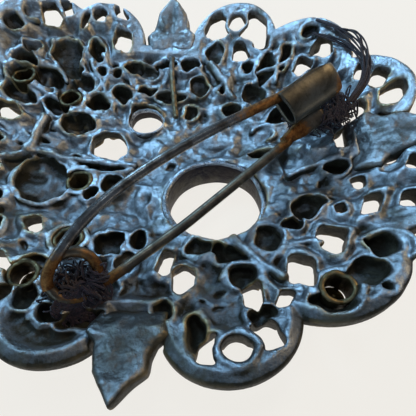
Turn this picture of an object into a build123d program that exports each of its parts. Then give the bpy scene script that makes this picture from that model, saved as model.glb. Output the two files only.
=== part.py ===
"""Openwork cast brooch, lying on its front with its back and safety pin uppermost. Millimetres.

+X runs to the right-hand leaf, +Y to the top leaf, +Z up out of the back. The origin is on the
plane that the brooch rests on, in the middle of its outline.
"""

import os
from math import cos, radians, sin, sqrt

from build123d import *

# ---- driving dimensions ---------------------------------------------------------------------
LEAF_REACH_X = 33.0      # middle of the brooch to the tips of the side leaves
LEAF_REACH_Y = 30.0      # middle of the brooch to the tips of the top and bottom leaves
DOME_RADIUS = 64.0       # the back is the inside of a ball of this radius
BACK_HEIGHT = 3.0        # back surface above the rest plane, in the middle
PLATE_THICKNESS = 2.0
BULK = 40.0              # taller than anything here: length of cutting prisms

# scallops round the edge: name, centre x, centre y, radius
LOBES = [
    ("a", 9.7, 21.6, 6.6),
    ("b", 18.8, 15.6, 7.5),
    ("c", 25.1, 7.0, 7.1),
    ("d", 25.1, -7.0, 7.1),
    ("e", 18.8, -15.4, 7.6),
    ("f", 9.2, -21.6, 6.9),
    ("g", -7.6, -21.2, 6.1),
    ("l", -16.8, -15.6, 7.4),
    ("k", -24.8, -7.2, 7.2),
    ("j", -25.2, 8.8, 7.4),
    ("i", -18.4, 19.6, 8.2),
    ("h", -10.0, 22.6, 5.8),
]

# see-through windows of the lattice: centre x, centre y, width, height, turn in degrees
WINDOWS = [
    (7.4, 24.4, 1.6, 2.2, 20), (10.3, 24.8, 1.8, 1.8, 0), (13.0, 23.4, 2.2, 2.4, -30),
    (11.0, 19.4, 1.3, 1.3, 0), (22.0, 17.0, 2.2, 2.4, 40), (19.4, 14.2, 2.4, 1.9, 20),
    (26.4, 10.7, 1.0, 1.8, 0), (28.4, 9.1, 1.5, 1.4, 0), (29.0, 5.6, 2.2, 2.2, 0),
    (22.6, 5.6, 2.2, 2.6, 0), (22.4, 1.6, 1.4, 2.0, 20), (21.6, -5.6, 1.9, 1.0, 0),
    (24.2, -10.0, 2.2, 3.0, 10), (28.4, -9.4, 1.6, 1.6, 0), (21.0, -10.4, 1.3, 0.9, 0),
    (16.4, -17.4, 2.7, 3.8, -30), (19.8, -14.2, 3.2, 2.6, 10), (14.2, -20.4, 1.0, 0.8, 0),
    (7.4, -25.2, 1.2, 2.4, 20), (10.0, -25.2, 2.2, 1.4, 0), (12.7, -24.0, 1.8, 2.2, -40),
    (10.8, -18.6, 1.8, 1.9, 0), (2.4, -15.8, 1.8, 3.3, -35), (5.0, -17.8, 1.7, 3.2, 5),
    (-7.4, 2.9, 4.4, 3.0, 10), (-13.2, -11.0, 1.5, 1.5, 0), (-14.8, -16.6, 1.7, 1.8, 0),
    (-20.6, 6.8, 2.6, 1.4, 10), (-10.6, 25.4, 1.7, 1.7, 0), (-13.4, 23.6, 1.3, 1.6, 0),
    (-7.6, 25.4, 1.4, 1.3, 0), (-7.8, 21.2, 1.6, 2.4, 10), (-18.2, 24.0, 2.1, 2.2, 0),
    (-22.6, 20.4, 2.2, 2.2, 0), (-16.2, 17.6, 1.6, 2.2, 0), (-26.6, 11.6, 1.6, 2.0, 0),
    (-29.0, 7.2, 1.8, 2.0, 0), (-23.8, -10.2, 2.2, 2.8, -10), (-28.2, -8.6, 1.6, 1.8, 0),
    (-19.8, -16.4, 2.4, 2.4, 0), (-16.2, -20.0, 1.6, 1.6, 0), (-9.6, -24.4, 1.6, 1.6, 0),
    (-6.2, -23.6, 1.4, 1.4, 0), (-1.8, 14.6, 1.4, 2.4, 10), (4.4, 13.6, 1.5, 2.4, -10),
    (14.2, 8.6, 2.0, 1.6, 30), (17.6, 4.4, 1.6, 2.0, 0), (-5.6, 15.6, 1.6, 1.8, 0),
]

# open settings for the two large stones: centre, half width, half height, wall, lip above the
# back, and level of the front edge above the rest plane
OVAL = dict(x=7.5, y=-5.6, rx=6.7, ry=6.2, wall=0.9, lip=1.3, front=0.0)
ROUND = dict(x=-2.8, y=8.6, rx=2.8, ry=2.8, wall=0.6, lip=0.2, front=1.8)
FRONT_BEAD = (-8.4, 9.4, 1.7)    # cast bead on the front that the brooch rests on: x, y, radius

# small collets, each holding one paste stone: centre x, centre y, z of the stone's table
COLLETS = [
    (-10.3, -2.9, 0.0),
    (-9.2, -12.1, 0.9),
    (-14.2, 11.4, 1.6),
    (-20.9, 13.6, 4.4),
    (-12.2, -17.4, 3.4),
    (19.4, -19.4, 5.4),
]
COLLET_RADIUS = 1.8
COLLET_WALL = 0.45
COLLET_LIP = 0.2         # collet above the back surface
STONE_SEAT_GAP = 0.05    # stone to collet wall
STONE_SHOW = 0.6         # stone above the collet's front edge
STONE_DEPTH = 1.1        # girdle to point
STONE_CROWN = 0.45       # table to girdle
STONE_GIRDLE = 0.2       # height of the girdle
STONE_TABLE = 0.6        # share of the girdle's radius

# leaves: root distance from the middle, half width, and how much thicker than the plate
LEAF_ROOT_Y = 21.4
LEAF_ROOT_X = 24.4
LEAF_HALF_WIDTH_Y = 3.9
LEAF_HALF_WIDTH_X = 4.4
LEAF_LIP = 0.9
# half outline of a leaf, from root to shoulder: share of its length, share of its half width
LEAF_SHARES = [(0.0, 0.85), (0.3, 1.0), (0.42, 0.74), (0.7, 0.6)]

STEM_WIDTH = 0.9         # bar below the top leaf
STEM_RISE = 1.1          # bar above the back surface
STEM_X = 1.0             # middle of the bar
STEM_TOP = 19.0
STEM_BOTTOM = 9.0

# safety pin: it lies in a plane that leans over the back
PIN_COIL = (-5.6, -19.0)  # centre of the coil in plan; its height comes from the back below it
COIL_SEAT = 0.01         # how far the coil sits into the back where it stands on it
PIN_AZIMUTH = 40.5       # heading of the fixed wire, from +X towards +Y
PIN_RISE = 4.5           # climb of the fixed wire
PIN_LEAN = 45.0          # lean of the pin's plane from flat
WIRE = 1.1               # wire diameter
COIL_RADIUS = 2.4        # to the middle of the wire
COIL_GAP = 0.1           # between the moving turn and the fixed turn
COIL_STEP = 5            # degrees between the places where the coil is measured against the back
ARM_LEAVES = 120.0       # where the arm leaves its turn, in degrees from the fixed wire's heading
ARM_TURN_END = 165.0
ARM_BOW = [(3.4, 3.95), (10.5, 4.85), (19.5, 4.45)]   # the arm's bow, along and across the pin
ARM_TIP = 35.4           # tip of the arm, along the pin
ARM_TIP_SIDE = 2.65      # and across the pin
ARM_TIP_TURN = -6.0      # heading of the point, in degrees from the fixed wire
ARM_POINT = 4.0          # length of the sharpened point
POINT_TIP = 0.1          # radius of the blunted tip
CAP_START = 28.8         # cap along the pin
CAP_LENGTH = 8.0
CAP_LOW = -0.3           # cap across the pin: closed edge, and open edge
CAP_HIGH = 3.8
CAP_END_ROUND = 1.6      # corner radius of the cap's closed end
CAP_SHEET = 0.4
CAP_CLEAR = 0.2          # each side of the arm inside the cap
LEG_BEND = (12.0, -2.5)  # where the fixed leg turns towards the cap
LEG_END = (28.0, -1.7)
LEG_BEND_RADIUS = 40.0
TAB_LENGTH = 6.2         # flattened end of the fixed wire, soldered to the cap
TAB_WIDTH = 1.5
TAB_THICKNESS = 0.8

THREAD = 0.4             # sewing thread, diameter
WRAP_RADIUS = 1.25       # bundle of thread round the fixed wire, to the bundle's middle
WRAP_BUNDLE = 0.35       # radius of one bundle
WRAP_ANGLES = [250, 275, 300, 325]   # where the bundles cross the fixed turn, in degrees
EYE_CLEAR = 0.3          # lashing inside the coil to the moving turn
COIL_LUMP = (3.2, 2.9, 1.3)          # half sizes of the lashing under the coil
COIL_LUMP_AT = (-0.9, -0.7)          # its middle, along and across the pin
CAP_LUMP = (2.3, 1.5, 2.3)           # half sizes of the lashing under the cap
CAP_LUMP_BACK = 1.4                  # its middle, back from the cap's closed end
CAP_LUMP_DROP = 0.9                  # and below the fixed wire's level
EYE_LOW, EYE_HIGH = -2.6, 1.8        # lashing in the coil's eye, out of the pin's plane
TUCK = 0.1                           # overlap that joins the bundles of one lashing
# loose strands from the rim to the cap's lashing: x, y, height above the back surface
STRANDS = [
    [(21.9, 21.8, 0.25), (25.0, 17.6, 0.9), (27.4, 12.6, 0.9), (27.2, 8.4, 1.0), (24.6, 5.0, 1.8)],
    [(21.4, 19.8, 0.25), (24.4, 16.4, 0.8), (26.2, 12.2, 0.9), (26.2, 8.6, 1.2), (24.2, 5.0, 2.2)],
    [(24.3, 19.2, 0.25), (26.4, 16.2, 1.5), (27.0, 12.4, 1.7), (25.8, 8.2, 2.0), (23.8, 4.8, 2.6)],
]
STRAND_BEND = 3.0        # bend radius of the loose strands

os.makedirs("parts", exist_ok=True)

BALL_CENTRE = (0, 0, BACK_HEIGHT + DOME_RADIUS)


def back_z(x, y):
    """Height of the back surface over a point of the plan."""
    return BALL_CENTRE[2] - sqrt(DOME_RADIUS**2 - x * x - y * y)


def shell(over=0.0, under=0.0):
    """The plate's curved slab, thickened above the back and below the front."""
    outer = Pos(*BALL_CENTRE) * Sphere(DOME_RADIUS + PLATE_THICKNESS + under)
    inner = Pos(*BALL_CENTRE) * Sphere(DOME_RADIUS - over)
    return outer - inner


def prism(plan, low=-1.0, height=BULK):
    """A plan outline made into an upright solid."""
    return extrude(Pos(0, 0, low) * plan, amount=height)


def ellipse_plan(x, y, rx, ry, turn=0.0):
    return Pos(x, y) * Rot(0, 0, turn) * Ellipse(rx, ry)


def save(name, shape):
    shape.label = name
    export_step(shape, f"parts/{name}.step")


# ---- plate ----------------------------------------------------------------------------------
def leaf_plan(root, tip, half):
    """A three-pointed leaf along +X from root to tip."""
    length = tip - root
    side = [(root + along * length, across * half) for along, across in LEAF_SHARES] + [(tip, 0)]
    other = [(x, -y) for x, y in reversed(side[:-1])]
    return make_face(Polyline(*side, *other, close=True))


def leaf_plans():
    """The four leaves in plan, by name."""
    long_leaf = leaf_plan(LEAF_ROOT_X, LEAF_REACH_X, LEAF_HALF_WIDTH_X)
    short_leaf = leaf_plan(LEAF_ROOT_Y, LEAF_REACH_Y, LEAF_HALF_WIDTH_Y)
    return {
        "leaf_right": long_leaf,
        "leaf_top": Rot(0, 0, 90) * short_leaf,
        "leaf_left": Rot(0, 0, 180) * long_leaf,
        "leaf_bottom": Rot(0, 0, -90) * short_leaf,
    }


def outline_plan():
    """Scallops joined to the middle by the polygon through their centres."""
    plan = make_face(Polyline(*[(x, y) for _, x, y, _ in LOBES], close=True))
    for _, x, y, r in LOBES:
        plan += Pos(x, y) * Circle(r)
    return plan


def setting_plan(setting):
    return ellipse_plan(setting["x"], setting["y"], setting["rx"], setting["ry"])


def make_plate(leaves):
    plan = outline_plan()
    for leaf in leaves.values():
        plan -= leaf
    for x, y, width, height, turn in WINDOWS:
        plan -= ellipse_plan(x, y, width / 2, height / 2, turn)
    for setting in (OVAL, ROUND):
        plan -= setting_plan(setting)
    for x, y, _ in COLLETS:
        plan -= Pos(x, y) * Circle(COLLET_RADIUS)
    bead_x, bead_y, bead_radius = FRONT_BEAD
    height = back_z(bead_x, bead_y) - PLATE_THICKNESS / 2
    bead = Cylinder(bead_radius, height, align=(Align.CENTER, Align.CENTER, Align.MIN))
    bead = Pos(bead_x, bead_y) * bead
    bead = fillet(bead.edges().group_by(Axis.Z)[0], bead_radius / 2)
    return (prism(plan) & shell()) + bead


# ---- settings and stones --------------------------------------------------------------------
def make_setting(setting):
    """A collar from its front edge to its lip above the back."""
    x, y, rx, ry, wall, front = (setting[k] for k in ("x", "y", "rx", "ry", "wall", "front"))
    top = back_z(x, y) + setting["lip"]
    ring = ellipse_plan(x, y, rx, ry) - ellipse_plan(x, y, rx - wall, ry - wall)
    return prism(ring, front, top - front)


def make_collet(x, y, table):
    """An open-backed tube with its front edge just behind the stone's table."""
    low = table + STONE_SHOW
    top = back_z(x, y) + COLLET_LIP
    ring = Circle(COLLET_RADIUS) - Circle(COLLET_RADIUS - COLLET_WALL)
    return prism(Pos(x, y) * ring, low, top - low)


def make_stone(x, y, table):
    """A brilliant-cut paste stone: table down, crown, girdle and pointed back."""
    girdle = COLLET_RADIUS - COLLET_WALL - STONE_SEAT_GAP
    low, high = STONE_CROWN, STONE_CROWN + STONE_GIRDLE
    profile = Polyline(
        (0, 0), (STONE_TABLE * girdle, 0), (girdle, low), (girdle, high), (0, high + STONE_DEPTH), close=True
    )
    return Pos(x, y, table) * revolve(make_face(Plane.XZ * profile), Axis.Z)


# ---- safety pin -----------------------------------------------------------------------------
ARM_LEVEL = (WIRE + COIL_GAP) / 2      # middle of the arm out of the pin's plane
WIRE_LEVEL = -ARM_LEVEL


def on_coil(angle):
    return (COIL_RADIUS * cos(radians(angle)), COIL_RADIUS * sin(radians(angle)))


def coil_height(along, across):
    """Height of the coil's centre at which its fixed turn stands on the back."""
    reach = DOME_RADIUS - WIRE / 2 + COIL_SEAT
    heights = []
    for angle in range(0, 360, COIL_STEP):
        u, v = on_coil(angle)
        offset = along * u + across * v + along.cross(across) * WIRE_LEVEL
        x, y = PIN_COIL[0] + offset.X, PIN_COIL[1] + offset.Y
        heights.append(BALL_CENTRE[2] - sqrt(reach**2 - x * x - y * y) - offset.Z)
    return max(heights)


def pin_frame():
    """Plane with x along the fixed wire, y from the wire to the arm, z out of the pin's plane."""
    azimuth, rise, lean = radians(PIN_AZIMUTH), radians(PIN_RISE), radians(PIN_LEAN)
    along = Vector(cos(rise) * cos(azimuth), cos(rise) * sin(azimuth), sin(rise))
    flat = Vector(-sin(azimuth), cos(azimuth), 0)
    upright = along.cross(flat)
    across = flat * cos(lean) + upright * sin(lean)
    origin = (*PIN_COIL, coil_height(along, across))
    return Plane(origin=origin, x_dir=along, z_dir=along.cross(across))


PIN = pin_frame()


def tube(path, radius):
    """A round wire along a path in the pin's own plane."""
    return sweep(Plane(origin=path @ 0, z_dir=path % 0) * Circle(radius), path=path)


def make_arm():
    start, leave = on_coil(ARM_TURN_END), on_coil(ARM_LEAVES)
    middle = on_coil((ARM_TURN_END + ARM_LEAVES) / 2)
    turn = ThreePointArc(start, middle, leave)
    heading, tip_turn = radians(ARM_LEAVES - 90), radians(ARM_TIP_TURN)
    point_start = (ARM_TIP - ARM_POINT * cos(tip_turn), ARM_TIP_SIDE - ARM_POINT * sin(tip_turn))
    bow = Spline(
        leave, *ARM_BOW, point_start,
        tangents=[(cos(heading), sin(heading)), (cos(tip_turn), sin(tip_turn))],
    )
    wire = tube(Wire(turn.edges()), WIRE / 2) + tube(Wire(bow.edges()), WIRE / 2)
    point = Plane(origin=bow @ 1, z_dir=bow % 1) * Cone(
        WIRE / 2, POINT_TIP, ARM_POINT, align=(Align.CENTER, Align.CENTER, Align.MIN)
    )
    return PIN * Pos(0, 0, ARM_LEVEL) * (wire + point)


def make_fixed_wire():
    """The fixed turn of the coil and the straight leg, in one length of wire."""
    loop = CenterArc((0, 0), COIL_RADIUS, -90, -330)
    leg = FilletPolyline((0, -COIL_RADIUS), LEG_BEND, LEG_END, radius=LEG_BEND_RADIUS)
    turn = tube(Wire(loop.edges()), WIRE / 2)
    straight = tube(Wire(leg.edges()), WIRE / 2)
    return PIN * Pos(0, 0, WIRE_LEVEL) * (turn + straight)


def make_tab():
    """Flattened end of the fixed wire, lying against the cap's closed edge."""
    tab = Box(TAB_LENGTH, TAB_WIDTH, TAB_THICKNESS, align=(Align.MIN, Align.MAX, Align.CENTER))
    return PIN * Pos(LEG_END[0], CAP_LOW, WIRE_LEVEL) * tab


def make_cap():
    """Folded sheet, closed towards the fixed wire and at its end, open where the arm comes in."""
    thickness = WIRE + 2 * CAP_CLEAR + 2 * CAP_SHEET
    width = CAP_HIGH - CAP_LOW
    middle = (CAP_START + CAP_LENGTH / 2, (CAP_LOW + CAP_HIGH) / 2, ARM_LEVEL)
    outside = Pos(*middle) * Box(CAP_LENGTH, width, thickness)
    outside = fillet(outside.edges().filter_by(Axis.Z).group_by(Axis.X)[-1], CAP_END_ROUND)
    inside = Pos(middle[0] - CAP_SHEET, middle[1] + CAP_SHEET, middle[2]) * Box(
        CAP_LENGTH, width, thickness - 2 * CAP_SHEET
    )
    return PIN * (outside - inside)


# ---- lashings -------------------------------------------------------------------------------
def lump(half_sizes):
    return scale(Sphere(1), by=half_sizes)


def make_coil_lashing(plate):
    """Thread through the coil's eye, round the fixed turn, and bunched down on to the plate."""
    eye = Pos(0, 0, EYE_LOW) * Cylinder(
        COIL_RADIUS - WIRE / 2 - EYE_CLEAR, EYE_HIGH - EYE_LOW, align=(Align.CENTER, Align.CENTER, Align.MIN)
    )
    lump_level = WIRE_LEVEL - WIRE / 2 - COIL_LUMP[2] + TUCK
    body = eye + Pos(*COIL_LUMP_AT, lump_level) * lump(COIL_LUMP)
    for angle in WRAP_ANGLES:
        x, y = on_coil(angle)
        bundle = Rot(0, 0, angle) * Rot(90, 0, 0) * Torus(WRAP_RADIUS, WRAP_BUNDLE)
        body += Pos(x, y, WIRE_LEVEL) * bundle
    return biggest(PIN * body - plate - make_fixed_wire())


def make_cap_lashing(plate, leaf):
    """Bunched thread between the end of the cap and the plate."""
    along = CAP_START + CAP_LENGTH - CAP_LUMP_BACK
    middle = Pos(along, CAP_LOW - CAP_LUMP[1] - TUCK, WIRE_LEVEL - CAP_LUMP_DROP)
    return biggest(PIN * middle * lump(CAP_LUMP) - plate - leaf - make_tab())


def make_strand(points, lashing):
    """One loose strand of thread, ending in the cap's lashing."""
    route = [(x, y, back_z(x, y) + above) for x, y, above in points]
    path = FilletPolyline(*route, radius=STRAND_BEND)
    return biggest(tube(path, THREAD / 2) - lashing)


def biggest(shape):
    """The largest solid of what a cut leaves."""
    return max(shape.solids(), key=lambda solid: solid.volume)


def make_stem():
    """Bar lying along the back from the top leaf towards the middle."""
    length = STEM_TOP - STEM_BOTTOM
    plan = Pos(STEM_X, (STEM_TOP + STEM_BOTTOM) / 2) * RectangleRounded(
        STEM_WIDTH, length, 0.4 * STEM_WIDTH
    )
    skin = Pos(*BALL_CENTRE) * (Sphere(DOME_RADIUS) - Sphere(DOME_RADIUS - STEM_RISE))
    return prism(plan) & skin


# ---- build ----------------------------------------------------------------------------------
leaves = leaf_plans()
plate = make_plate(leaves)
save("openwork_plate", plate)
leaf_solids = {name: prism(plan) & shell(over=LEAF_LIP) for name, plan in leaves.items()}
for name, leaf in leaf_solids.items():
    save(name, leaf)
save("oval_bezel", make_setting(OVAL))
save("round_bezel", make_setting(ROUND))
for number, (x, y, table) in enumerate(COLLETS, 1):
    save(f"collet_{number}", make_collet(x, y, table))
    save(f"stone_{number}", make_stone(x, y, table))
save("pin_arm", make_arm())
save("pin_wire", make_fixed_wire())
save("pin_tab", make_tab())
save("pin_cap", make_cap())
save("stem_bar", make_stem())
save("coil_lashing", make_coil_lashing(plate))
cap_lashing = make_cap_lashing(plate, leaf_solids["leaf_right"])
save("cap_lashing", cap_lashing)
for number, points in enumerate(STRANDS, 1):
    save(f"thread_strand_{number}", make_strand(points, cap_lashing))
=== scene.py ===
from itertools import chain
from math import cos, pi, radians, sin, sqrt

import bpy
import numpy as np
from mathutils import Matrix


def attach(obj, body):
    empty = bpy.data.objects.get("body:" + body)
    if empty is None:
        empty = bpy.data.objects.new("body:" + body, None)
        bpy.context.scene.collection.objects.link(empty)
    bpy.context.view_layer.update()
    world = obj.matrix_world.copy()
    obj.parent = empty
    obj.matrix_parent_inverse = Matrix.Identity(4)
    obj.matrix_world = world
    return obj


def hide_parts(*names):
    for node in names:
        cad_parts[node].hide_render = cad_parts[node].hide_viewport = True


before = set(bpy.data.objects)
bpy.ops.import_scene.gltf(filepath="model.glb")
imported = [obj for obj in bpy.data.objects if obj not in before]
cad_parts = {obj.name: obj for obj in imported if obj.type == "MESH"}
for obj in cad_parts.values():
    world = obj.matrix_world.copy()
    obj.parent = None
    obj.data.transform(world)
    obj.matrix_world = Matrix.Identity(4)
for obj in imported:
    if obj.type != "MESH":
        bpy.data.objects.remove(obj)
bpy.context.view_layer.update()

import openvdb
from mathutils import Matrix, Vector

MM = 0.001

# ---- the shape of the back, as in the CAD ----
DOME_RADIUS = 64.0
BACK_HEIGHT = 3.0
STEP = 0.15              # grid spacing of the castings, in mm
FAR = 3.0                # distance that counts as far away, in mm

LOBES = [
    (9.7, 21.6, 6.6), (18.8, 15.6, 7.5), (25.1, 7.0, 7.1), (25.1, -7.0, 7.1),
    (18.8, -15.4, 7.6), (9.2, -21.6, 6.9), (-7.6, -21.2, 6.1), (-16.8, -15.6, 7.4),
    (-24.8, -7.2, 7.2), (-25.2, 8.8, 7.4), (-18.4, 19.6, 8.2), (-10.0, 22.6, 5.8),
]


def back_z(x, y):
    return BACK_HEIGHT + DOME_RADIUS - np.sqrt(DOME_RADIUS**2 - x * x - y * y)


def on_back(x, y, h):
    """A point h above the back surface, in mm."""
    return Vector((x, y, float(back_z(x, y)) + h))


# ---- flat distance shapes ----
def ellipse(x, y, cx, cy, rx, ry, turn=0.0):
    c, s = cos(radians(turn)), sin(radians(turn))
    u, v = (x - cx) * c + (y - cy) * s, (y - cy) * c - (x - cx) * s
    k1 = np.sqrt((u / rx) ** 2 + (v / ry) ** 2) + 1e-6
    k2 = np.sqrt((u / rx**2) ** 2 + (v / ry**2) ** 2) + 1e-6
    return k1 * (k1 - 1) / k2


def segment(x, y, a, b):
    px, py, bx, by = x - a[0], y - a[1], b[0] - a[0], b[1] - a[1]
    t = np.clip((px * bx + py * by) / (bx * bx + by * by + 1e-9), 0, 1)
    return np.hypot(px - bx * t, py - by * t)


def polyline(x, y, points):
    return np.minimum.reduce([segment(x, y, a, b) for a, b in zip(points, points[1:])])


def polygon(x, y, points):
    """Signed distance to a closed outline."""
    inside = np.zeros(np.broadcast(x, y).shape, bool)
    for (ax, ay), (bx, by) in zip(points, points[1:] + points[:1]):
        crosses = (ay > y) != (by > y)
        inside ^= crosses & (x < (bx - ax) * (y - ay) / (by - ay + 1e-9) + ax)
    d = polyline(x, y, points + points[:1])
    return np.where(inside, -d, d)


def smooth_min(a, b, k):
    h = np.maximum(k - np.abs(a - b), 0) / k
    return np.minimum(a, b) - h * h * k * 0.25


def smooth_max(a, b, k):
    return -smooth_min(-a, -b, k)


def arc_points(cx, cy, r, start, end, count=14):
    """Points of an arc or, with r a pair, of a spiral."""
    r0, r1 = r if isinstance(r, tuple) else (r, r)
    out = []
    for i in range(count + 1):
        t = i / count
        angle = radians(start + (end - start) * t)
        radius = r0 + (r1 - r0) * t
        out.append((cx + radius * cos(angle), cy + radius * sin(angle)))
    return out


class Noise:
    """Seeded smooth noise over the plan."""

    def __init__(self, seed, scale):
        self.scale = scale
        self.table = np.random.default_rng(seed).uniform(-1, 1, (256, 256)).astype(np.float32)

    def __call__(self, x, y):
        u, v = x / self.scale + 100, y / self.scale + 100
        i, j = np.floor(u).astype(int), np.floor(v).astype(int)
        fu, fv = u - i, v - j
        fu, fv = fu * fu * (3 - 2 * fu), fv * fv * (3 - 2 * fv)
        t = self.table
        i0, i1, j0, j1 = i % 256, (i + 1) % 256, j % 256, (j + 1) % 256
        top = t[i0, j0] * (1 - fu) + t[i1, j0] * fu
        low = t[i0, j1] * (1 - fu) + t[i1, j1] * fu
        return top * (1 - fv) + low * fv


class Casting:
    """A distance field over a flat block: x, y and height above the back, in mm."""

    def __init__(self, low, high):
        self.low = low
        self.counts = [int((b - a) / STEP) + 1 for a, b in zip(low, high)]
        self.axes = [a + STEP * np.arange(n) for a, n in zip(low, self.counts)]
        self.d = np.full(self.counts, FAR, np.float32)

    def part(self, box):
        """Index ranges and coordinates of a plan rectangle (x0, x1, y0, y1)."""
        pick = []
        for axis, a, b in ((0, box[0], box[1]), (1, box[2], box[3])):
            i0 = max(0, int((a - self.low[axis]) / STEP))
            i1 = min(self.counts[axis], int((b - self.low[axis]) / STEP) + 2)
            pick.append(slice(i0, max(i0, i1)))
        x = self.axes[0][pick[0]][:, None]
        y = self.axes[1][pick[1]][None, :]
        return tuple(pick), x, y

    def fill(self, outline, low, top, blend):
        """A slab between two heights, inside an outline, all three given over the plan."""
        z = self.axes[2][None, None, :]
        slab = np.abs(z - ((top + low) / 2)[:, :, None]) - ((top - low) / 2)[:, :, None]
        self.d = smooth_max(slab, outline[:, :, None] + 0 * z, blend).astype(np.float32)

    def add(self, box, shape, blend, sign=1):
        """Joins a shape to the casting, or cuts it out with sign -1, rounded by the blend's size."""
        pick, x, y = self.part(box)
        if 0 not in self.d[pick].shape:
            new = shape(x, y, self.axes[2][None, None, :])
            self.d[pick] = sign * smooth_min(sign * self.d[pick], new, blend)

    def cut(self, box, shape, blend):
        self.add(box, shape, blend, -1)


def around(points, margin):
    """Plan rectangle round some points."""
    xs, ys = zip(*points)
    return (min(xs) - margin, max(xs) + margin, min(ys) - margin, max(ys) + margin)


def near(cx, cy, reach_x, reach_y=None):
    """Plan rectangle round one point."""
    reach_y = reach_y or reach_x
    return (cx - reach_x, cx + reach_x, cy - reach_y, cy + reach_y)


# ---- openings and hollows of the lattice, in plan, mm ----
WINDOWS = {
    "far left lobe": [
        [-20.2, 26.1, -18.6, 26.8, -16.9, 24.2, -17.3, 23.1, -19.6, 23.2],
        [-17.4, 27.0, -16.4, 27.7, -15.3, 25.1, -16.2, 24.6],
        [-23.3, 8.3, -21.5, 8.5, -19.6, 6.8, -20.1, 6.0, -22.3, 5.8],
    ],
    "top left lobe": [
        [-14.2, 23.2, -13.8, 26.4, -12.9, 26.8, -13.4, 23.8],
        [-12.4, 26.5, -11.3, 27.5, -10.3, 27.0, -10.8, 24.8, -11.8, 25.0],
        [-9.5, 28.0, -8.4, 28.1, -6.7, 25.8, -8.7, 26.0],
        [-9.2, 23.1, -8.6, 24.9, -6.8, 24.6, -6.1, 21.6, -7.0, 19.8, -8.4, 20.4],
    ],
    "middle": [
        [-4.9, 8.2, -4.9, 11.3, -3.4, 12.1, -2.1, 11.7, -0.6, 8.3, -1.5, 6.6, -4.2, 6.6],
        [-9.8, 2.2, -9.6, 5.0, -8.2, 6.1, -6.5, 5.9, -4.8, 2.7, -5.1, 1.3, -8.4, 1.4],
        [1.3, -16.5, 2.6, -17.3, 3.0, -13.0, 2.1, -13.3],
        [3.7, -18.8, 3.4, -15.8, 4.4, -15.0, 5.4, -15.9, 5.5, -18.2, 4.5, -19.4],
        [-15.0, -9.7, -13.5, -9.1, -12.3, -12.0, -13.6, -11.6],
        [-16.2, -14.9, -15.1, -14.9, -13.5, -17.4, -14.6, -17.3],
    ],
    "top right lobe": [
        [5.6, 23.6, 6.7, 26.8, 8.3, 27.2, 9.0, 22.9, 7.2, 22.9],
        [9.2, 24.7, 10.4, 27.2, 11.6, 24.6, 10.4, 23.5],
        [10.9, 22.3, 12.8, 26.9, 14.5, 24.7, 14.5, 21.9, 13.1, 21.4],
        [10.1, 18.7, 10.4, 21.4, 11.2, 21.4, 12.0, 18.6],
    ],
    "upper right lobe": [
        [20.7, 17.0, 22.6, 19.4, 23.8, 19.0, 23.3, 15.0], [18.5, 14.6, 19.9, 17.1, 21.3, 15.8, 18.9, 13.4],
    ],
    "right upper lobe": [
        [26.5, 11.8, 27.2, 12.9, 27.0, 9.7, 26.2, 9.6], [27.6, 8.8, 28.8, 11.0, 29.7, 10.2, 28.4, 8.0],
        [28.1, 4.4, 28.5, 7.6, 30.9, 7.9, 31.0, 6.6, 29.3, 4.3],
        [23.6, 4.6, 25.2, 6.4, 26.8, 7.0, 25.5, 4.0, 23.9, 2.7],
        [23.0, 2.8, 24.2, 3.5, 23.9, -0.1, 22.8, -0.6],
    ],
    "right lower lobe": [
        [23.6, -4.9, 24.8, -4.9, 24.5, -6.6, 23.7, -6.8], [28.4, -6.0, 29.6, -3.8, 30.3, -4.2, 29.2, -6.6],
        [22.9, -11.5, 24.8, -7.6, 26.1, -7.9, 24.6, -11.2],
        [26.8, -10.9, 27.8, -8.8, 28.9, -9.2, 28.0, -11.1],
        [21.1, -9.0, 21.8, -8.9, 21.9, -10.2, 21.3, -10.2],
    ],
    "lower right lobe": [
        [15.2, -18.2, 15.8, -14.2, 17.9, -15.3, 17.4, -19.5, 16.4, -18.3],
        [18.5, -12.6, 19.2, -11.2, 21.7, -12.6, 20.3, -16.1, 19.0, -14.2],
        [13.7, -21.0, 14.6, -19.1, 15.5, -19.1, 14.5, -21.0],
    ],
    "bottom right lobe": [
        [8.8, -25.8, 10.0, -24.4, 11.2, -24.9, 10.2, -26.1],
        [11.3, -22.8, 13.2, -22.4, 13.8, -24.8, 12.6, -25.6],
        [6.6, -26.6, 7.0, -24.2, 8.3, -23.6, 8.2, -26.6],
        [10.8, -18.2, 12.3, -17.6, 12.0, -20.9, 11.2, -20.9],
    ],
}
WINDOWS = {name: [list(zip(flat[::2], flat[1::2])) for flat in group] for name, group in WINDOWS.items()}
# the left lobes repeat the right ones, mirrored
for name in ("right upper lobe", "right lower lobe", "lower right lobe"):
    WINDOWS["left of " + name] = [[(-x, y) for x, y in w] for w in WINDOWS[name] if w[0][0] > 15]

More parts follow.
